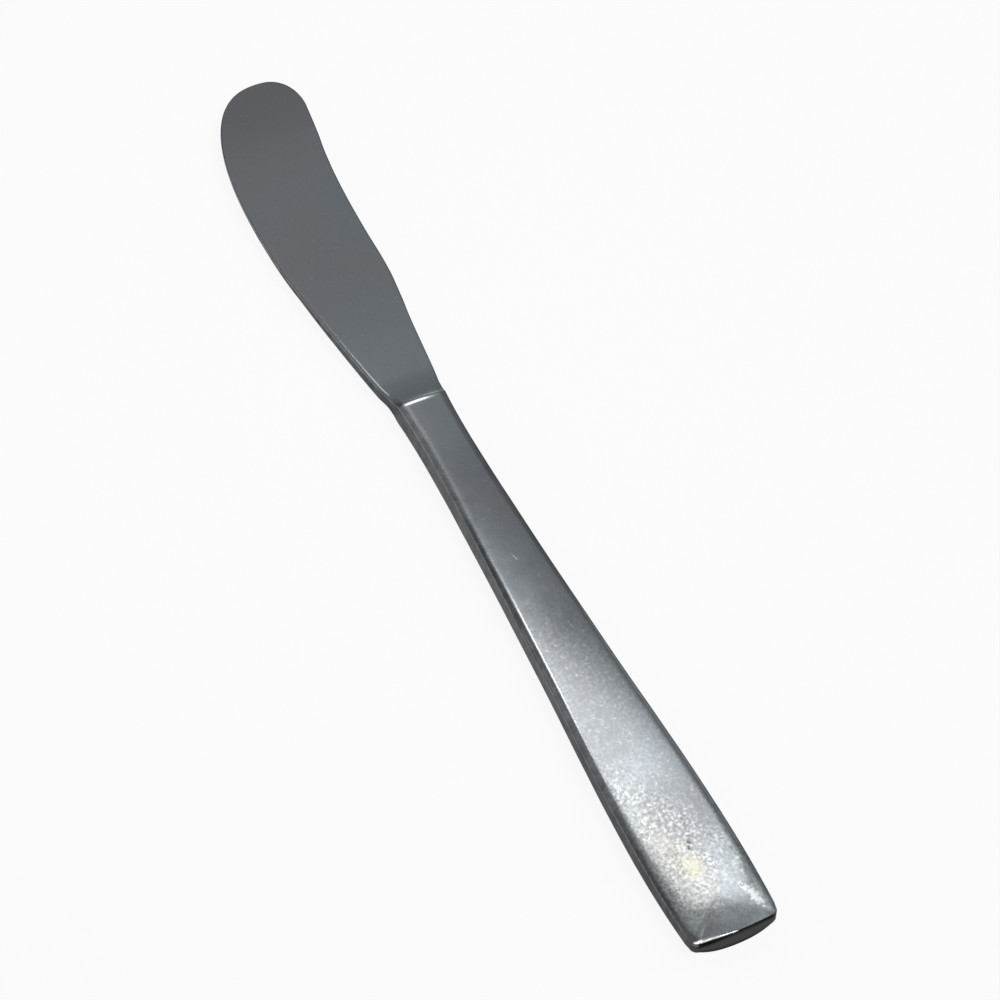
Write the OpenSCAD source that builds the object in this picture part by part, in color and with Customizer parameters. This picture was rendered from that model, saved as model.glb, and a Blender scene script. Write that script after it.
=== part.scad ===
// Butter knife forged in one piece, lying flat on the lower land of its handle.
// X runs from the butt to the tip and Y towards the belly of the blade. The origin is at the
// bottom centre of the knife's box.

/* [Handle] */
// Length of the handle, from the butt to the shoulder
handle_l = 94; // [80:1:110]
// Width of the handle where it is widest
handle_w = 12.5; // [10:0.1:15]
// Width of the handle at the butt
butt_w = 11.7; // [9:0.1:14]
// Width of the neck where it is narrowest
neck_w = 6.8; // [5.5:0.1:8.5]
// Thickness of the handle, from one land to the other
handle_t = 4.2; // [3.4:0.1:5.5]
// How far the end of the butt bows out
butt_bow = 0.45; // [0.2:0.05:0.9]
// Radius of the two corners of the butt, seen from above
corner_r = 1; // [0.5:0.1:2.5]

/* [Faces of the handle] */
// Rise of each face above the side edges along the grip
grip_rise = 0.8; // [0.4:0.05:1.1]
// Rise of each face above the side edges at the neck
neck_rise = 0.2; // [0.1:0.05:0.6]
// Rise of each face above the middle of the butt's end edge
butt_rise = 0.55; // [0.2:0.05:0.8]
// Width of the bevel along the sides of the face
bevel_w = 0.65; // [0.3:0.05:1.2]
// Width of the soft roll-off round the butt
roll_w = 2.4; // [1.5:0.1:4.5]
// Length over which the roll-off narrows to the bevel
roll_l = 21; // [15:1:45]

/* [Blade] */
// Length of the blade, from the shoulder to the tip
blade_l = 71; // [60:1:85]
// Reach of the belly, on the spreading side, from the knife's axis
belly_reach = 8.3; // [6.5:0.1:10.5]
// Reach of the back from the knife's axis
back_reach = 8.9; // [7:0.1:10.5]
// Distance of the tip from the knife's axis, on the side of the back
tip_offset = 4; // [2:0.1:5]
// Distance from the shoulder to the widest place of the belly
belly_l = 40; // [34:1:46]
// Distance from the widest place of the back to the tip
back_tip_l = 7; // [5:0.5:12]
// Thickness of the blade at the foot of the shoulder
root_t = 2.3; // [1.6:0.1:2.8]
// Thickness of the blade at the tip
tip_t = 0.8; // [0.6:0.1:1.4]
// Length of the hollow ramp from the handle's face down to the blade
shoulder_l = 3.5; // [2:0.1:6]
// Width of the eased rim round the blade's faces
rim_w = 0.5; // [0.3:0.05:1.2]
// Depth of the eased rim on each face
rim_drop = 0.15; // [0.05:0.01:0.25]

/* [Finish] */
// Radius that breaks every edge between a face and the side
edge_r = 0.15; // [0.08:0.01:0.25]

/* [Hidden] */

// Handle width from the neck's width, 0, to the widest, 1, against the share of the handle's length
handle_shares = [[0.06, 0.96], [0.13, 1], [0.22, 0.95], [0.33, 0.79], [0.44, 0.585],
                 [0.55, 0.41], [0.66, 0.24], [0.76, 0.11], [0.85, 0.02], [0.93, 0], [1, 0.08]];
// Reach of the belly from the neck's side, 0, to the widest, 1, against the share of belly_l
belly_shares = [[0.13, 0.24], [0.38, 0.54], [0.63, 0.795], [0.84, 0.96], [1, 1]];
// The same for the back, which dips before it swells to the tip, against the share of back_l
back_shares = [[0.09, 0.15], [0.24, 0.32], [0.34, 0.465], [0.43, 0.55], [0.55, 0.56],
               [0.68, 0.605], [0.8, 0.71], [0.9, 0.87], [1, 1]];
// How round the two quarters of the tip are: 2 is an ellipse, and more is squarer
belly_power = 2.4;
back_power = 2.3;
// Rise of the face from the neck's, 0, to the grip's, 1, against the share of the handle's length
rise_shares = [[0, 1], [0.42, 1], [0.62, 0.68], [0.8, 0.12], [0.9, 0], [1, 0]];
// Blade thickness from the tip's, 0, to the root's, 1, against the share of the blade's length
thick_shares = [[0, 1], [0.1, 0.88], [0.25, 0.64], [0.4, 0.34], [0.6, 0.12], [1, 0]];

// Share of a face's rise that is the gentle crown inside the bevel
crown_share = 0.37;
// Share of a bevel's rise that is rounded rather than straight
soft_share = 0.3;
// How steeply the roll leaves the butt's edge, on its sides and in the middle of its end: 1 is straight
side_roll = 3;
end_roll = 1.6;
// Share of the half width over which the rings turn from the butt's square corners to round
round_share = 0.7;
// Height that is dressed off the top of the crown to leave the flat land
dressed_h = 0.1;
// Overrun of the dressing cut past the blank
over = 1;

// Steps along each stretch of half the outline, from the middle of the butt to the tip
end_steps = 5;
corner_steps = 5;
butt_steps = 3;
grip_steps = 26;
ramp_steps = 6;
blade_steps = 24;
tip_steps = 9;
// Steps up the broken edge, across the bevel and across the crown
edge_steps = 2;
bevel_steps = 3;
crown_steps = 3;

knife_l = handle_l + blade_l;
belly_x = handle_l + belly_l;
back_l = blade_l - back_tip_l;
back_x = handle_l + back_l;
spine_x = butt_w / 2;

// Smooth curve through the points p, level at its first and last point
function stretch_at(p, x) = max(0, min(len(p) - 2, len([for (q = p) if (q[0] <= x) 1]) - 1));
function slope(p, i) =
    i == 0 || i == len(p) - 1 ? 0 : (p[i + 1][1] - p[i - 1][1]) / (p[i + 1][0] - p[i - 1][0]);
function hermite(p, i, w, t) =
    p[i][1] * (1 + 2 * t) * pow(1 - t, 2) + slope(p, i) * w * t * pow(1 - t, 2)
    + p[i + 1][1] * t * t * (3 - 2 * t) + slope(p, i + 1) * w * t * t * (t - 1);
function curve_between(p, i, x) =
    hermite(p, i, p[i + 1][0] - p[i][0], (x - p[i][0]) / (p[i + 1][0] - p[i][0]));
function curve(p, x) = curve_between(p, stretch_at(p, x), max(p[0][0], min(p[len(p) - 1][0], x)));

// Plan outline: half widths of the handle, then the reach of each side of the blade
handle_pts = concat([[0, butt_w / 2]],
    [for (s = handle_shares) [s[0] * handle_l, (neck_w + (handle_w - neck_w) * s[1]) / 2]]);
belly_pts = concat(handle_pts,
    [for (s = belly_shares) [handle_l + s[0] * belly_l, neck_w / 2 + (belly_reach - neck_w / 2) * s[1]]]);
back_pts = concat(handle_pts,
    [for (s = back_shares) [handle_l + s[0] * back_l, neck_w / 2 + (back_reach - neck_w / 2) * s[1]]]);
function fall(u, power) = pow(1 - pow(min(1, u), power), 1 / power);
function belly_y(x) = x <= belly_x ? curve(belly_pts, x)
    : (belly_reach + tip_offset) * fall((x - belly_x) / (knife_l - belly_x), belly_power) - tip_offset;
function back_y(x) = -curve(back_pts, x);

// The butt's end is a flat arc that runs into a small round corner on each side
bow_r = (pow(butt_w / 2, 2) + pow(butt_bow, 2)) / (2 * butt_bow);
corner_y = butt_w / 2 - corner_r;
corner_x = bow_r - sqrt(pow(bow_r - corner_r, 2) - pow(corner_y, 2));
corner_a = asin(corner_y / (bow_r - corner_r));
function end_point(a) = [bow_r * (1 - cos(a)), bow_r * sin(a)];
function corner_point(a) = [corner_x - corner_r * cos(a), corner_y + corner_r * sin(a)];

// The tip is a quarter of a rounded shape on each side, and a is 90 degrees at the tip itself
function quarter(a, x, reach, power) =
    [x + (knife_l - x) * pow(sin(a), 2 / power), (reach + tip_offset) * pow(cos(a), 2 / power) - tip_offset];
belly_a = asin(pow((back_x - belly_x) / (knife_l - belly_x), belly_power / 2));
function belly_tip(s) = quarter(belly_a + (90 - belly_a) * s, belly_x, belly_reach, belly_power);
function back_tip(s) = let (q = quarter(90 * s, back_x, back_reach - 2 * tip_offset, back_power))
    [q[0], -q[1] - 2 * tip_offset];

// Places along the sides, closer together down the shoulder's ramp
side_x = concat(
    [for (i = [1:butt_steps]) corner_x + (spine_x - corner_x) * i / butt_steps],
    [for (i = [1:grip_steps]) spine_x + (handle_l - spine_x) * i / grip_steps],
    [for (i = [1:ramp_steps]) handle_l + shoulder_l * pow(i / ramp_steps, 1.5)],
    [for (i = [1:blade_steps]) handle_l + shoulder_l + (back_l - shoulder_l) * i / blade_steps]);

// Half of the outline from the middle of the butt to the tip, on the belly's side or the back's
function half_outline(back) = concat(
    [for (i = [0:end_steps]) let (p = end_point(corner_a * i / end_steps)) [p[0], back ? -p[1] : p[1]]],
    [for (i = [1:corner_steps]) let (p = corner_point(corner_a + (90 - corner_a) * i / corner_steps))
        [p[0], back ? -p[1] : p[1]]],
    [for (x = side_x) [x, back ? back_y(x) : belly_y(x)]],
    [for (i = [1:tip_steps]) back ? back_tip(i / tip_steps) : belly_tip(i / tip_steps)]);
belly_half = half_outline(false);
back_half = half_outline(true);
half_n = len(belly_half) - 1;
loop_n = 2 * half_n;
outline = concat(belly_half, [for (i = [1:half_n - 1]) back_half[half_n - i]]);

// Line along the middle, to which each ring of the face draws in
function spine(i) = let (x = max(spine_x, min(back_x, outline[i][0]))) [x, (belly_y(x) + back_y(x)) / 2];
function half_w(i) = let (x = max(spine_x, min(back_x, outline[i][0]))) (belly_y(x) - back_y(x)) / 2;

// Heights above the middle plane: of the face along its middle, and of its edge at the side
function ramp(x) = pow(1 - max(0, min(1, (x - handle_l) / shoulder_l)), 2);
function blade_h(x) = (tip_t + (root_t - tip_t) * curve(thick_shares, (x - handle_l) / blade_l)) / 2;
function face_h(x) = blade_h(x) + (handle_t / 2 + dressed_h - blade_h(x)) * ramp(x);
function rise(x) = neck_rise + (grip_rise - neck_rise) * curve(rise_shares, x / handle_l);
function side_h(x) = blade_h(x) - rim_drop + (handle_t / 2 - rise(x) - blade_h(x) + rim_drop) * ramp(x);
// 1 in the middle of the butt's end, and 0 at its corners and beyond. The end's edge is highest there
function on_end(p) = p[0] > corner_x || abs(p[1]) > corner_y ? 0 : 1 - pow(p[1] / corner_y, 2);
function edge_h(i, x) = side_h(x) + (grip_rise - butt_rise) * on_end(outline[i]);

// Width of the bevel, which grows towards the butt
function near_butt(x) = pow(1 - max(0, min(1, x / roll_l)), 3);
function band_w(x) = rim_w + (bevel_w + (roll_w - bevel_w) * near_butt(x) - rim_w) * ramp(x);
// Climb from the edge, 0, to the face's middle, 1: a bevel and a crown along the grip, and one roll
// over the whole half width at the butt
function bevel_climb(u) = (1 - crown_share) * (u + soft_share * u * (1 - u));
function crown_climb(v) = 1 - crown_share * pow(1 - v, 2);
function roll_climb(i, inset) = let (p = side_roll + (end_roll - side_roll) * on_end(outline[i]))
    1 - pow(1 - (inset - edge_r) / (half_w(i) - edge_r), p);

// A point drawn in by g of the half width. The rings lose the butt's corners as they go in
function rounded(i, g) = let (r = norm(outline[i] - spine(i)))
    1 - (1 - min(1, half_w(i) / r)) * min(1, g / round_share) * (2 - min(1, g / round_share));
function inner(i, g) = spine(i) + (outline[i] - spine(i)) * (1 - g) * rounded(i, g);
// A point of the upper surface: in by a length, at height h
function at(i, inset, h) = let (p = inner(i, inset / half_w(i))) [p[0], p[1], h];
function edge_point(i, a) =
    at(i, edge_r * (1 - cos(a)), edge_h(i, outline[i][0]) - edge_r * (1 - sin(a)));
function face_point(i, inset, climb) = let (
        p = at(i, inset, 0),
        low = edge_h(i, p[0]),
        near = near_butt(p[0]))
    [p[0], p[1], low + (face_h(p[0]) - low) * (climb * (1 - near) + roll_climb(i, inset) * near)];
function bevel_point(i, u) = let (w = band_w(outline[i][0]))
    face_point(i, edge_r + (w - edge_r) * u, bevel_climb(u));
function crown_point(i, v) = let (w = band_w(outline[i][0]))
    face_point(i, w + (half_w(i) - w) * v, crown_climb(v));

// The rings of the upper face, from the side in to the crown
rings = concat(
    [for (k = [0:edge_steps]) [for (i = [0:loop_n - 1]) edge_point(i, 90 * k / edge_steps)]],
    [for (k = [1:bevel_steps]) [for (i = [0:loop_n - 1]) bevel_point(i, k / bevel_steps)]],
    [for (k = [1:crown_steps]) [for (i = [0:loop_n - 1]) crown_point(i, k / (crown_steps + 1))]]);
ring_n = len(rings);
upper = [for (r = rings) for (p = r) p];
lower = [for (p = upper) [p[0], p[1], -p[2]]];

function strip(a, b) = [for (i = [0:loop_n - 1]) let (j = (i + 1) % loop_n)
    for (f = [[a + i, b + i, b + j], [a + i, b + j, a + j]]) f];
function ladder(a) = [for (i = [0:half_n - 1]) let (l = (loop_n - i) % loop_n, m = loop_n - i - 1)
    for (f = [[a + i, a + m, a + i + 1], [a + i, a + l, a + m]])
        if (f[0] != f[1] && f[1] != f[2] && f[0] != f[2]) f];
function turned(faces) = [for (f = faces) [f[2], f[1], f[0]]];
upper_faces = concat([for (k = [0:ring_n - 2]) for (f = strip(k * loop_n, (k + 1) * loop_n)) f],
    ladder((ring_n - 1) * loop_n));
lower_faces = turned([for (f = upper_faces) f + ring_n * loop_n * [1, 1, 1]]);
wall_faces = strip(ring_n * loop_n, 0);

// The forged blank, level about its middle plane
module blank() {
    polyhedron(points = concat(upper, lower), faces = concat(upper_faces, lower_faces, wall_faces),
        convexity = 6);
}

// The slab that both lands are dressed to
module dressing() {
    translate([-over, -back_reach - over, -handle_t / 2])
        cube([knife_l + 2 * over, back_reach + belly_reach + 2 * over, handle_t]);
}

module knife() {
    color("darkgray")
        translate([-knife_l / 2, (back_reach - belly_reach) / 2, handle_t / 2])
            intersection() {
                blank();
                dressing();
            }
}

knife();
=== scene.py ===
import math
from types import SimpleNamespace

import bpy
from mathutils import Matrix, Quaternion, Vector


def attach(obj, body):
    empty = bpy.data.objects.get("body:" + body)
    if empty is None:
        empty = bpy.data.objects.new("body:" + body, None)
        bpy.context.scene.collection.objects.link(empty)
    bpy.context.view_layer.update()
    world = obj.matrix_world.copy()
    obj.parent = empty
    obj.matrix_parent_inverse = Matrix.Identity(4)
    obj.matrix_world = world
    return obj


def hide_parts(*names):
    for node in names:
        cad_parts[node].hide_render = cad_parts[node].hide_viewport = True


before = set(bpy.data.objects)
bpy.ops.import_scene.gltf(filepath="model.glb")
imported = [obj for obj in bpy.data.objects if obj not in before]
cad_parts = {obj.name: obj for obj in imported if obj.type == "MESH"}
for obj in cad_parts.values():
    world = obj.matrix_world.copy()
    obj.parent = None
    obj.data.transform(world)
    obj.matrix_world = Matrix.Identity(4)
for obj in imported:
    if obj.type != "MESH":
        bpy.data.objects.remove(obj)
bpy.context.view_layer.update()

# The knife: one bar of stainless steel, forged between two dies, trimmed round its side and tumbled.
# The handle's faces are crowned inside a bevel, a shoulder steps down to the blade, and the blade
# thins to a round tip. X runs from the butt to the tip, and Y towards the belly of the blade.
mm = 0.001
size = SimpleNamespace(
    handle_length=94 * mm,
    blade_length=71 * mm,
    thickness=4.2 * mm,
    corner_radius=1 * mm,
    # Drop from the middle of a face to its edge
    grip_rise=0.8 * mm,
    neck_rise=0.34 * mm,
    butt_rise=0.55 * mm,
    bevel_width=0.85 * mm,
    neck_bevel=1.08 * mm,
    # The roll into the butt, and how far it runs along each side
    roll_width=2.4 * mm,
    belly_roll=34 * mm,
    back_roll=16 * mm,
    # Reach of the blade's two sides from the handle's middle, and of its tip towards the back
    belly_reach=8.3 * mm,
    back_reach=8.9 * mm,
    tip_offset=4 * mm,
    root_thickness=2.3 * mm,
    tip_thickness=0.8 * mm,
    shoulder_length=3.5 * mm,
    rim_width=0.5 * mm,
    rim_drop=0.15 * mm,
    edge_radius=0.15 * mm,
    lip_height=0.105 * mm,
    lip_length=0.5 * mm,
    # The side's painted shade fades out over this width across the bevel
    shade_fade=0.4 * mm,
    waviness=0.01 * mm,
)

# Sizes that go into the outline's curves
handle_width, butt_width, neck_width = 12.5 * mm, 11.7 * mm, 6.8 * mm
butt_bow = 0.45 * mm
belly_length, back_tip_length = 40 * mm, 7 * mm
size.length = size.handle_length + size.blade_length
size.belly_x = size.handle_length + belly_length
size.back_x = size.length - back_tip_length

# The butt's end is a flat arc, with a small round corner on each side
half_butt = butt_width / 2
size.bow_radius = (half_butt**2 + butt_bow**2) / (2 * butt_bow)
size.corner_y = half_butt - size.corner_radius
corner_reach = size.bow_radius - size.corner_radius
corner_x = size.bow_radius - math.sqrt(corner_reach**2 - size.corner_y**2)
corner_angle = math.asin(size.corner_y / corner_reach)

# Shares along the knife: each pair is a share of a length and a share of a width, rise or thickness
handle_shares = [(0.06, 0.96), (0.13, 1), (0.22, 0.95), (0.33, 0.79), (0.44, 0.585), (0.55, 0.41),
                 (0.66, 0.24), (0.76, 0.11), (0.85, 0.02), (0.93, 0), (1, 0.08)]
belly_shares = [(0.13, 0.24), (0.38, 0.54), (0.63, 0.795), (0.84, 0.96), (1, 1)]
back_shares = [(0.09, 0.15), (0.24, 0.32), (0.34, 0.465), (0.43, 0.55), (0.55, 0.56),
               (0.68, 0.605), (0.8, 0.71), (0.9, 0.87), (1, 1)]
rise_shares = [(0, 1), (0.42, 1), (0.62, 0.68), (0.8, 0.12), (0.9, 0), (1, 0)]
thick_shares = [(0, 1), (0.1, 0.88), (0.25, 0.64), (0.4, 0.34), (0.6, 0.12), (1, 0)]
neck_half = neck_width / 2
handle_half = [(0, half_butt)] + [
    (a * size.handle_length, neck_half + (handle_width / 2 - neck_half) * b)
    for a, b in handle_shares]


def side_stops(shares, length, reach):
    """Stops of a curve from the butt to where a side reaches furthest, as shares of both."""
    blade = [(size.handle_length + a * length, neck_half + (reach - neck_half) * b) for a, b in shares]
    whole = size.handle_length + length
    return [(x / whole, y / reach) for x, y in handle_half + blade]


class Wire:
    """A socket of a node tree. Sums on wires add Math nodes, and node() adds any other node."""

    def __init__(self, tree, socket=None):
        self.tree, self.socket = tree, socket

    def node(self, kind, settings=None, values=None, stops=None, output=0):
        """Add a node, with its settings, its inputs by name or number, and its curve's or ramp's stops."""
        made = self.tree.nodes.new(kind)
        for name, value in (settings or {}).items():
            setattr(made, name, value)
        if stops and kind == "ShaderNodeFloatCurve":
            line = made.mapping.curves[0]
            line.points[0].location, line.points[1].location = stops[0], stops[-1]
            for stop in stops[1:-1]:
                line.points.new(*stop)
            made.mapping.update()
        elif stops:
            ramp = made.color_ramp.elements
            while len(ramp) < len(stops):
                ramp.new(0.5)
            for element, (place, colour) in zip(ramp, stops):
                element.position, element.color = place, colour
        for name, value in (values or {}).items():
            if isinstance(value, Wire):
                self.tree.links.new(value.socket, made.inputs[name])
            else:
                made.inputs[name].default_value = value
        return Wire(self.tree, made.outputs[output] if made.outputs else None)

    def math(self, operation, *values, clamp=False):
        return self.node("ShaderNodeMath", {"operation": operation, "use_clamp": clamp},
                         dict(enumerate(values)))

    def __add__(self, other):
        return self.math("ADD", self, other)

    def __sub__(self, other):
        return self.math("SUBTRACT", self, other)

    def __mul__(self, other):
        return self.math("MULTIPLY", self, other)

    def __truediv__(self, other):
        return self.math("DIVIDE", self, other)

    def __pow__(self, other):
        return self.math("POWER", self, other)

    def __rsub__(self, other):
        return self.math("SUBTRACT", other, self)

    __radd__ = __add__
    __rmul__ = __mul__

    def least(self, other):
        return self.math("MINIMUM", self, other)

    def most(self, other):
        return self.math("MAXIMUM", self, other)

    def kept(self):
        """The value held between 0 and 1."""
        return self.math("ADD", self, 0, clamp=True)

    def below(self, other):
        return self.math("LESS_THAN", self, other)


def passed(value, start, length):
    """How much of a stretch lies behind, from 0 to 1. A length below 0 runs back from the start."""
    return ((value - start) / length).kept()


# The forging is a grid of points. One way it goes round the outline, from the middle of the butt's
# end along the belly's side to the tip, and back along the back's side. The other way its rings go
# from the middle of the under face, out over its bevel, up the side and in to the upper face's middle.
end_steps, corner_steps, tip_steps = 24, 12, 60
lip_stretch_end = size.handle_length + 0.3 * mm
side_stretches = [(corner_x, 150), (size.handle_length - size.lip_length, 12), (lip_stretch_end, 24),
                  (size.handle_length + size.shoulder_length, 140), (size.back_x, 0)]
side_steps = sum(steps for start, steps in side_stretches)
half_steps = end_steps + corner_steps + side_steps + tip_steps
wall_steps, edge_steps, bevel_steps, crown_steps = 4, 5, 8, 12
ring_steps = wall_steps + edge_steps + bevel_steps + crown_steps

tree = bpy.data.node_groups.new("forging", "GeometryNodeTree")
tree.interface.new_socket("Geometry", in_out="OUTPUT", socket_type="NodeSocketGeometry")
order = tree.nodes.new("NodeGroupInput")
given = SimpleNamespace()
identifiers = {}
for name in vars(size):
    label = name.replace("_", " ").capitalize()
    wanted = tree.interface.new_socket(label, in_out="INPUT", socket_type="NodeSocketFloat")
    identifiers[name] = wanted.identifier
    setattr(given, name, Wire(tree, order.outputs[label]))
steel_input = tree.interface.new_socket("Steel", in_out="INPUT", socket_type="NodeSocketMaterial")

die = Wire(tree)
grid = die.node("GeometryNodeMeshGrid", values={
    "Size X": 2 * half_steps, "Size Y": 2 * ring_steps,
    "Vertices X": 2 * half_steps + 1, "Vertices Y": 2 * ring_steps + 1})
place = die.node("GeometryNodeInputPosition")
around = die.node("ShaderNodeSeparateXYZ", values={0: place}, output=0)
over = die.node("ShaderNodeSeparateXYZ", values={0: place}, output=1)
belly = around.below(0.5)
sign = belly * 2 - 1
step = half_steps - around.math("ABSOLUTE", around)
ring = over.math("ABSOLUTE", over)
upper = over.math("SIGN", over)

# Outline: out along the butt's end, round its corner, down the side and round the tip
bow_angle = passed(step, 0, end_steps) * corner_angle
turn = passed(step, end_steps, corner_steps) * (math.pi / 2 - corner_angle) + corner_angle
out_x = given.bow_radius * (1 - die.math("COSINE", bow_angle)) + given.corner_radius * (
    math.cos(corner_angle) - die.math("COSINE", turn))
butt_y = given.bow_radius * die.math("SINE", bow_angle) + given.corner_radius * (
    die.math("SINE", turn) - math.sin(corner_angle))
first = end_steps + corner_steps
for (start, steps), (stop, _) in zip(side_stretches, side_stretches[1:]):
    out_x = out_x + passed(step, first, steps) * (stop - start)
    first += steps
tip_first = end_steps + corner_steps + side_steps

belly_stops = side_stops(belly_shares, belly_length, size.belly_reach)
back_stops = side_stops(back_shares, size.blade_length - back_tip_length, size.back_reach)
belly_power, back_power = 2.4, 2.3


def follow(share, stops):
    """What a curve through the stops gives at a share of its length."""
    return die.node("ShaderNodeFloatCurve", values={"Value": share.kept()}, stops=stops)


def belly_y(x):
    """Reach of the belly: a curve to its widest place, then a quarter of a rounded shape."""
    past = ((x - given.belly_x) / (given.length - given.belly_x)).kept()
    fall = (1 - past**belly_power) ** (1 / belly_power)
    swell = given.belly_reach * follow(x / given.belly_x, belly_stops)
    return swell + (given.belly_reach + given.tip_offset) * (fall - 1)


def back_y(x):
    """Reach of the back: a curve with two shallow hollows, as far as the round of the tip."""
    return 0 - given.back_reach * follow(x / given.back_x, back_stops)


tip_belly = math.asin(((size.back_x - size.belly_x) / (size.length - size.belly_x)) ** (belly_power / 2))
tip_part = passed(step, tip_first, tip_steps)
belly_turn = tip_part * (math.pi / 2 - tip_belly) + tip_belly
back_turn = tip_part * (math.pi / 2)
belly_tip_x = (given.length - given.belly_x) * die.math("SINE", belly_turn) ** (2 / belly_power) \
    - (given.back_x - given.belly_x)
back_tip_x = (given.length - given.back_x) * die.math("SINE", back_turn) ** (2 / back_power)
belly_tip_y = (given.belly_reach + given.tip_offset) * die.math(
    "COSINE", belly_turn).most(0) ** (2 / belly_power) - given.tip_offset
back_tip_y = (given.tip_offset - given.back_reach) * die.math(
    "COSINE", back_turn).most(0) ** (2 / back_power) - given.tip_offset
out_x = out_x + back_tip_x + belly * (belly_tip_x - back_tip_x)
on_butt = step.below(end_steps + corner_steps + 0.5)
on_tip = 1 - step.below(tip_first + 0.5)
side_y = back_y(out_x) + belly * (belly_y(out_x) - back_y(out_x))
tip_y = back_tip_y + belly * (belly_tip_y - back_tip_y)
out_y = side_y + on_butt * (butt_y * sign - side_y) + on_tip * (tip_y - side_y)

# Middle line of the faces, to which each ring draws in
mid_x = out_x.most(half_butt).least(given.back_x)
mid_y = (belly_y(mid_x) + back_y(mid_x)) * 0.5
half_width = (belly_y(mid_x) - back_y(mid_x)) * 0.5
off_x = out_x - mid_x
off_y = out_y - mid_y
off = die.math("SQRT", off_x * off_x + off_y * off_y)
foot_softness = 0.06


def shoulder(x):
    """1 on the handle, falling in a hollow curve to 0 at the foot of the shoulder."""
    past = die.math("SMOOTH_MAX", (x - given.handle_length) / given.shoulder_length, 0, foot_softness)
    return (1 - past.kept()) ** 2


def near_butt(x):
    """1 at the butt, falling to 0 along the grip, sooner on the back's side than on the belly's."""
    return (1 - (x / (given.back_roll + belly * (given.belly_roll - given.back_roll))).kept()) ** 3


def grip(x):
    """1 along the grip, falling to 0 at the neck."""
    return follow(x / given.handle_length, rise_shares)


# Width of the bevel at each place of the outline, and of the blade's rim beyond the shoulder
bevel_here = given.neck_bevel + (given.bevel_width - given.neck_bevel) * grip(out_x)
band = given.rim_width + (bevel_here - given.rim_width + (
    given.roll_width - bevel_here) * near_butt(out_x)) * shoulder(out_x)

# The broken edge. The shears cut the butt's end and most of its corners, and left the edge rounder
# above on the belly's side, and below at the two corners
upper_growth, corner_growth, corner_fade_steps = 3.4, 6, 30
sheared = 1 - passed(step, end_steps, corner_steps * 0.7)
corner = passed(step, 0, end_steps) ** 3 * (
    1 - passed(step, end_steps + corner_steps, corner_fade_steps)) ** 2
belly_end = sheared * (out_y / given.corner_y * 1.4).kept()
growth_above = upper_growth * belly_end * upper.most(0)
growth_below = corner_growth * corner * (0 - upper).most(0)
edge_radius = given.edge_radius * (1 + growth_above + growth_below)

# Each ring's way in from the outline: round the edge, across the bevel and across the crown, whose
# rings lie closest beside the bevel. The butt's corners are drawn round on the way
crown_gathering = 1.5
round_share = 0.7
edge_turn = passed(ring, wall_steps, edge_steps) * (math.pi / 2)
across = passed(ring, wall_steps + edge_steps, bevel_steps)
inward = passed(ring, wall_steps + edge_steps + bevel_steps, crown_steps) ** crown_gathering
inset = edge_radius * (1 - die.math("COSINE", edge_turn)) \
    + (band - edge_radius) * across + (half_width - band) * inward
share = inset / half_width
rounding = (share / round_share).least(1)
draw = (1 - share) * (1 - (1 - (half_width / off).least(1)) * rounding * (2 - rounding))
drawn_x = mid_x + off_x * draw
drawn_y = mid_y + off_y * draw

# Heights above the middle plane at that place, of the face's middle line and of its edge. The lip
# above the shoulder stands proud of the handle's face, a little more on the belly's side
lip_middle, lip_lean = 0.85, 0.2
blade_part = (drawn_x - given.handle_length) / given.blade_length
blade_height = (given.tip_thickness + (given.root_thickness - given.tip_thickness)
                * follow(blade_part, thick_shares)) * 0.5
on_handle = shoulder(drawn_x)
rise = given.neck_rise + (given.grip_rise - given.neck_rise) * grip(drawn_x)
on_end = (1 - (out_y / given.corner_y) ** 2).most(0) * step.below(end_steps + 0.5)
lip_part = ((drawn_x - given.handle_length) / given.lip_length + 1).kept()
lean = (drawn_y / neck_half).least(1).most(-1)
dip = (1 - lip_part) * given.lip_height * (lip_middle + lip_lean * lean)
face_height = blade_height + (given.thickness * 0.5 - dip - blade_height) * on_handle
edge_height = blade_height - given.rim_drop + on_end * (given.grip_rise - given.butt_rise) + (
    given.thickness * 0.5 - rise - blade_height + given.rim_drop) * on_handle

# Climb from the edge to the face: a bevel and a crown with an eased ridge between them along the
# grip, and one smooth roll round the butt, which is steepest on the back's side and gentlest at the end
crown_share, soft_share = 0.37, 0.3
ridge_softness, crown_softness = 0.7, 0.12
back_roll_power, belly_roll_power, end_roll_power = 4.5, 3.0, 1.6
bevel_part = (inset - edge_radius).most(0) / (band - edge_radius)
bevel = die.math("SMOOTH_MIN", bevel_part, 1, ridge_softness).kept()
bevel = bevel + soft_share * bevel * (1 - bevel)
crown = die.math("SMOOTH_MAX", (inset - band) / (half_width - band), 0, crown_softness).kept()
crown_climb = 1 - (1 - crown) ** 2
butt_share = ((inset - edge_radius) / (half_width - edge_radius)).kept()
belly_easing = (back_roll_power - belly_roll_power) * belly
end_easing = (back_roll_power - end_roll_power - belly_easing) * on_end
roll_climb = 1 - (1 - butt_share) ** (back_roll_power - belly_easing - end_easing)
grip_climb = bevel * (1 - crown_share) + crown_climb * crown_share
climb = grip_climb + (roll_climb - grip_climb) * near_butt(drawn_x)
wall = passed(ring, 0, wall_steps)
height = (edge_height - edge_radius) * wall * (2 - wall) \
    + edge_radius * die.math("SINE", edge_turn) + (face_height - edge_height) * climb

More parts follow.
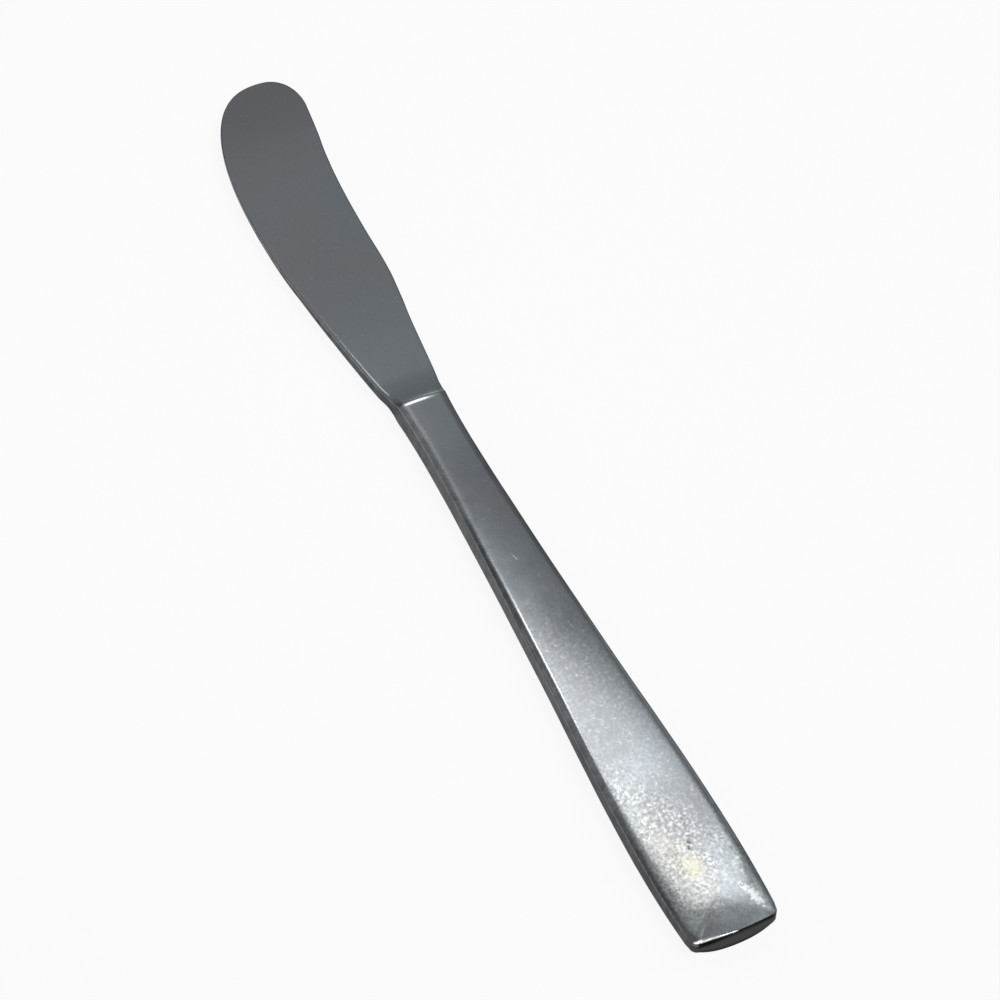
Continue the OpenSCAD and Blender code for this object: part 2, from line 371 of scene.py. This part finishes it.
# Tumbling leaves the faces very slightly uneven, always by taking metal away
wave_length = 6 * mm
level = die.node("ShaderNodeCombineXYZ", values={0: drawn_x, 1: drawn_y, 2: height * upper})
uneven = die.node("ShaderNodeTexNoise", {"noise_dimensions": "3D"}, {
    "Vector": level, "Scale": 1 / wave_length, "Detail": 1.0, "Roughness": 0.5}, output=0)
height = (height - given.waviness * uneven * across) * upper
whole = die.node("ShaderNodeCombineXYZ", values={
    0: drawn_x - given.length * 0.5,
    1: drawn_y + (given.back_reach - given.belly_reach) * 0.5,
    2: height + given.thickness * 0.5})

# What the colour follows: the side, whose painted shade runs over on to the bevel, the middle of its
# edge, the end that was sheared off, and a painted highlight and a painted dark line of shade along that
# end
bevel_shade_share, back_shade_share = 0.82, 0.6
bevel_shade = ((bevel_here - inset) / given.shade_fade).kept() * on_handle * (1 - on_end) * (
    back_shade_share + (1 - back_shade_share) * belly)
# Painted shade: all of it on the side, most of it round the edge and fading out over the bevel, less of
# the edge at the sheared end
edge_and_bevel_shade = ring.below(wall_steps + edge_steps + 0.5 - 3 * sheared).most(bevel_shade) * bevel_shade_share
side = ring.below(wall_steps + 0.5).most(edge_and_bevel_shade)
worn = die.math("SINE", edge_turn * 2)
# A painted highlight along the upper edge of the butt's end, on the belly's half
polish = worn * (belly_end * 2).kept()
# A painted dark line of shade along the butt's end, round its edges, reaching further round on the back's
# half
burr = sheared * passed(ring, 1, 1.5) * ring.below(wall_steps + edge_steps - 2.5 * belly)
weld_distance = 0.002 * mm
metal = grid
for name, field in (("side", side), ("worn", worn), ("sheared", sheared), ("polish", polish),
                    ("burr", burr)):
    metal = die.node("GeometryNodeStoreNamedAttribute", {"data_type": "FLOAT", "domain": "POINT"}, {
        "Geometry": metal, "Name": name, "Value": field})
metal = die.node("GeometryNodeSetPosition", values={"Geometry": metal, "Position": whole})
metal = die.node("GeometryNodeMergeByDistance", values={"Geometry": metal, "Distance": weld_distance})
metal = die.node("GeometryNodeSetShadeSmooth", values={"Geometry": metal})
metal = die.node("GeometryNodeRealizeInstances", values={"Geometry": metal})
steel_wire = Wire(tree, order.outputs["Steel"])
metal = die.node("GeometryNodeSetMaterial", values={"Geometry": metal, "Material": steel_wire})
result = tree.nodes.new("NodeGroupOutput")
tree.links.new(metal.socket, result.inputs[0])

# Satin steel: tumbled in stone and soap until it is even and grey, then scratched by years of use.
# The side and the bevel beside it get a painted shade, lifted a little along the middle of the edge, and
# the side is rougher.
steel = bpy.data.materials.new("satin_steel")
steel.use_nodes = True
steel.node_tree.nodes.clear()
look = Wire(steel.node_tree)
spot = look.node("ShaderNodeTexCoord", output="Object")
half_length, face_top, mark_depth = 82.5, 4.2, 2 * mm


def noise(scale, detail=2.0, roughness=0.5):
    """Noise whose features are about scale long."""
    return look.node("ShaderNodeTexNoise", values={
        "Vector": spot, "Scale": 1 / scale, "Detail": detail, "Roughness": roughness}, output=0)


def blend(share, first, second):
    """A colour between two others."""
    return look.node("ShaderNodeMix", {"data_type": "RGBA"}, {0: share, 6: first, 7: second}, output=2)


def stored(name):
    """A value that the forging carries from point to point."""
    return look.node("ShaderNodeAttribute", {"attribute_name": name}, output="Fac")


def mark(x, y, length, width, turn=0):
    """1 at the middle of a mark on the upper face, falling to 0 round it. Places and sizes are in mm."""
    local = look.node("ShaderNodeMapping", {"vector_type": "TEXTURE"}, {
        "Vector": spot, "Location": Vector((x, y, face_top)) * mm,
        "Rotation": (0, 0, math.radians(turn)),
        "Scale": (length / 2 * mm, width / 2 * mm, mark_depth)})
    away = look.node("ShaderNodeVectorMath", {"operation": "LENGTH"}, {0: local}, output="Value")
    return 1 - away.kept()


# Places on the knife, in mm from its middle, and the grains and clouds of its finish. The palm has
# made the grip's end rougher. The grain is faint along the grip, and coarse in patches by the butt
along = look.node("ShaderNodeSeparateXYZ", values={0: spot}, output=0) / mm
beside = look.node("ShaderNodeSeparateXYZ", values={0: spot}, output=1) / mm
speckle = noise(0.42 * mm, roughness=0.55)
mottle = noise(1.6 * mm)
patches = noise(7 * mm)
clouds = noise(16 * mm, detail=1.0)
palm = passed(along, -32, -18)
faint = passed(along, -22, -10)
grained = passed(along, beside * 1.5 - 58, -6) * passed(along, -80.5, 3)
coarse = ((patches - 0.42 + beside * 0.02) * 5).kept() * grained
# Where the side's painted shade lies; the side is rougher there too
shaded_side = stored("side")
edge_middle_share = stored("worn")
end_shade_share = stored("sheared")
edge_highlight_share = stored("polish")
shade_line_share = stored("burr")

# The faces: a grey that shifts from plain to violet and blue, with a painted sheen that makes it lighter
# or darker along the knife and gives a painted highlight and shade at the shoulder, with a cream patch
# under the palm, a slate one along the grip and a darker one between them
plain_grey, violet_grey = (0.455, 0.455, 0.462, 1), (0.46, 0.452, 0.487, 1)
blue_grey = (0.43, 0.463, 0.49, 1)
shift = clouds + passed(along, 45, -15) * 0.2
face_tone = look.node("ShaderNodeValToRGB", values={"Fac": shift}, stops=[
    (0.3, plain_grey), (0.5, violet_grey), (0.64, blue_grey)])
share_along = (along + half_length) / (2 * half_length)
# Painted sheen: lighter or darker along the knife, a painted highlight at the top of the shoulder and
# painted shade down its step
painted_sheen = look.node("ShaderNodeFloatCurve", values={"Value": share_along}, stops=[
    (0, 0.35), (0.38, 0.35), (0.45, 0.33), (0.5, 0.5), (0.56, 0.84), (0.58, 0.4), (0.592, 0.4),
    (0.612, 0.9), (0.68, 0.78), (0.75, 0.66), (0.85, 0.66), (0.91, 0.55), (0.96, 0.3), (1, 0.25)])
face_tone = look.node("ShaderNodeVectorMath", {"operation": "SCALE"}, {
    0: face_tone, "Scale": 0.8 + 0.5 * painted_sheen})
cream, slate, darker_grey = (0.5, 0.49, 0.45, 1), (0.33, 0.335, 0.35, 1), (0.3, 0.31, 0.33, 1)
face_tone = blend(mark(-70, 2.5, 26, 10), face_tone, cream)
face_tone = blend(mark(-42, 2.4, 46, 9) * 0.8, face_tone, slate)
darker_patch = (mark(-64.5, -1.3, 17, 11) * 1.6).kept()
face_tone = blend(darker_patch * 0.75, face_tone, darker_grey)

# The grain, in pale and dark flecks
pale_fleck, dark_fleck = (0.95, 0.95, 0.92, 1), (0.12, 0.13, 0.14, 1)
bright_grain = ((speckle - 0.5) * 5).kept() * (0.02 + faint * 0.28 + coarse * 0.7)
dark_grain = ((0.5 - speckle) * 5).kept() * (0.04 + faint * 0.26 + coarse * 0.7)
face_tone = blend(bright_grain * 0.5, face_tone, pale_fleck)
face_tone = blend(dark_grain * 0.55, face_tone, dark_fleck)

# Marks: a pale stain, a painted highlight at one corner of the butt, a nick painted as a bright line, and
# two dark specks
stain_yellow, corner_highlight_white = (0.62, 0.605, 0.46, 1), (1, 1, 1, 1)
nick_highlight_grey, speck_black = (0.9, 0.9, 0.9, 1), (0.08, 0.08, 0.085, 1)
stain = (mark(-72.5, 1.2, 4.6, 3) * (0.5 + patches + speckle * 0.6)).kept()
face_tone = blend(stain * 0.7, face_tone, stain_yellow)
# A painted highlight by the back's corner of the butt, broken up by the speckle
corner_highlight = (mark(-78.9, -3.75, 5.6, 2.1, 17) * 2.2 - (0.66 - speckle) * 3).kept()
face_tone = blend(corner_highlight, face_tone, corner_highlight_white)
# A nick, painted as the bright line of light along its edge
nick_highlight = (mark(-19.6, 0.5, 1.6, 0.3, 15) * 2).kept()
face_tone = blend(nick_highlight * 0.7, face_tone, nick_highlight_grey)
dark_specks = mark(-69, 0.1, 0.9, 0.6, 30).most(mark(-69.7, 0.4, 0.9, 0.5, -20))
face_tone = blend((dark_specks * 2).kept() * 0.8, face_tone, speck_black)

# Painted shade on the side, darker on the sheared end, a painted highlight along the end's upper edge
# on the belly's half, and a painted dark line of shade along the end
dark_side_shade, light_side_shade = (0.035, 0.036, 0.037, 1), (0.095, 0.096, 0.096, 1)
end_shade_grey, edge_highlight_white = (0.055, 0.055, 0.056, 1), (0.8, 0.8, 0.8, 1)
shade_line_black = (0.01, 0.01, 0.01, 1)
# The painted shade of the side, mottled between two darks
side_shade_tone = blend(((mottle - 0.5) * 4 + 0.5).kept(), dark_side_shade, light_side_shade)
# The sheared end gets a darker painted shade
side_shade_tone = blend(end_shade_share, side_shade_tone, end_shade_grey)
# Painted shade on the side and bevel, lifted a little along the middle of the edge
tone = blend(shaded_side * (1 - edge_middle_share * 0.2), face_tone, side_shade_tone)
# The painted highlight along the end's upper edge
tone = blend(edge_highlight_share, tone, edge_highlight_white)
# The painted dark line of shade along the end
tone = blend(shade_line_share, tone, shade_line_black)

# Tumbled steel is smooth under its grain. Seen at a low angle it reflects less than clean steel does
grain_depth = 0.012 * mm
glancing_tint = (0.64, 0.65, 0.66, 1)
dull = 0.19 + palm * 0.08 + (mottle - 0.5) * 0.06 + (patches - 0.5) * 0.04 + shaded_side * 0.1
grain = speckle * (0.05 + faint * 0.13 + coarse * 0.37) + mottle * (0.2 + grained * 0.2)
relief = look.node("ShaderNodeBump", values={"Strength": 1.0, "Distance": grain_depth, "Height": grain})
shader = look.node("ShaderNodeBsdfPrincipled", values={
    "Base Color": tone, "Metallic": 1.0, "Roughness": dull, "Normal": relief,
    "Specular Tint": glancing_tint})
look.node("ShaderNodeOutputMaterial", values={"Surface": shader})

# The dies strike a blank, and the forging becomes a plain mesh, made of that steel
blank = bpy.data.objects.new("blank", bpy.data.meshes.new("blank"))
bpy.context.scene.collection.objects.link(blank)
strike = blank.modifiers.new("forging", "NODES")
strike.node_group = tree
for name, identifier in identifiers.items():
    strike[identifier] = getattr(size, name)
strike[steel_input.identifier] = steel
bpy.context.view_layer.update()
forged = blank.evaluated_get(bpy.context.evaluated_depsgraph_get())
knife_mesh = bpy.data.meshes.new_from_object(forged)
knife_mesh.name = "butter_knife"
knife = bpy.data.objects.new("butter_knife", knife_mesh)
bpy.context.scene.collection.objects.link(knife)
bpy.data.objects.remove(blank)
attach(knife, "root")
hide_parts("knife")

# The floor: a wide, plain sheet of pale, matt paper, a single face that the knife lies on. To the
# camera and in the steel it glows by itself, so that it comes out even and white.
floor_half = 6.0
seen_glow, reflected_glow = 0.9, 0.8
floor_mesh = bpy.data.meshes.new("floor")
floor_mesh.from_pydata(
    [(x * floor_half, y * floor_half, 0) for x, y in ((-1, -1), (1, -1), (1, 1), (-1, 1))],
    [], [(0, 1, 2, 3)])
floor = bpy.data.objects.new("floor", floor_mesh)
bpy.context.scene.collection.objects.link(floor)
pale = bpy.data.materials.new("pale_sheet")
pale.use_nodes = True
pale.node_tree.nodes.clear()
sheet = Wire(pale.node_tree)
seen = sheet.node("ShaderNodeLightPath", output="Is Camera Ray")
glossy = sheet.node("ShaderNodeLightPath", output="Is Glossy Ray")
through = sheet.node("ShaderNodeLightPath", output="Is Transmission Ray")
paper = sheet.node("ShaderNodeBsdfDiffuse", values={"Color": (0.9, 0.9, 0.9, 1)})
glow = sheet.node("ShaderNodeEmission", values={"Color": (1, 1, 1, 1), "Strength": 1.0})
lifted = sheet.node("ShaderNodeMixShader", values={
    0: (seen * seen_glow).most(glossy.most(through) * reflected_glow), 1: paper, 2: glow})
sheet.node("ShaderNodeOutputMaterial", values={"Surface": lifted})
floor_mesh.materials.append(pale)

# The room: a dim, even light from all round, and soft lamps that stand where the knife mirrors them.
# The window is ahead of the knife and high, on the back's side, with a broad lamp lower on that side.
room_colour, room_strength = (0.95, 0.98, 1.0, 1), 0.26
world = bpy.data.worlds.new("room")
world.use_nodes = True
bpy.context.scene.world = world
world.node_tree.nodes["Background"].inputs["Color"].default_value = room_colour
world.node_tree.nodes["Background"].inputs["Strength"].default_value = room_strength


def towards(azimuth, elevation):
    """The direction from the knife at two angles in degrees."""
    a, e = math.radians(azimuth), math.radians(elevation)
    return Vector((math.cos(e) * math.cos(a), math.cos(e) * math.sin(a), math.sin(e)))


def facing(direction, turn):
    """The rotation of a lamp or camera that looks back along a direction, turned about it in degrees."""
    return direction.to_track_quat("Z", "Y") @ Quaternion((0, 0, 1), math.radians(turn))


def lamp(name, azimuth, elevation, width, height, radiance, turn=0, distance=1.2):
    """A rectangular soft lamp that faces the knife. Its width and height are in degrees of arc."""
    data = bpy.data.lights.new(name, "AREA")
    data.shape = "RECTANGLE"
    data.size = 2 * distance * math.tan(math.radians(width / 2))
    data.size_y = 2 * distance * math.tan(math.radians(height / 2))
    data.energy = radiance * 4 * data.size * data.size_y
    made = bpy.data.objects.new(name, data)
    made.location = towards(azimuth, elevation) * distance
    made.rotation_mode = "QUATERNION"
    made.rotation_quaternion = facing(towards(azimuth, elevation), turn)
    bpy.context.scene.collection.objects.link(made)


lamp("window", azimuth=-42, elevation=66.7, width=33.2, height=11.4, radiance=2.15, turn=23.1,
     distance=0.3)
lamp("side_lamp", azimuth=-86, elevation=45, width=24, height=20, radiance=1.8)
lamp("rear_lamp", azimuth=204, elevation=56, width=14, height=14, radiance=12.0)
lamp("neck_lamp", azimuth=1.6, elevation=51.1, width=7, height=6, radiance=1.7, distance=0.209)
lamp("grip_lamp", azimuth=33, elevation=73, width=14, height=8, radiance=4.6, turn=50, distance=0.11)
lamp("fill_lamp", azimuth=48, elevation=20, width=44, height=34, radiance=0.85)

# The camera: held above the butt's end of the knife, looking down along it to the blade. Its lens
# follows from the number of pixels that a millimetre takes up at the knife's middle.
camera_azimuth, camera_elevation, camera_roll = 154.89, 49.81, 0.50
camera_distance = 400 * mm
looks_at = Vector((-8.27, -2.54, 2.1)) * mm
frame_pixels, pixels_per_mm = 1000, 7.417
back_along = towards(camera_azimuth, camera_elevation)
camera_data = bpy.data.cameras.new("camera")
camera_data.sensor_width = 36.0
camera_data.lens = camera_data.sensor_width * pixels_per_mm * camera_distance / mm / frame_pixels
camera_data.clip_start = 0.01
camera_data.clip_end = 50.0
camera = bpy.data.objects.new("camera", camera_data)
camera.location = looks_at + back_along * camera_distance
camera.rotation_mode = "QUATERNION"
camera.rotation_quaternion = facing(back_along, camera_roll)
bpy.context.scene.collection.objects.link(camera)
bpy.context.scene.camera = camera

bpy.context.scene.view_settings.view_transform = "Standard"
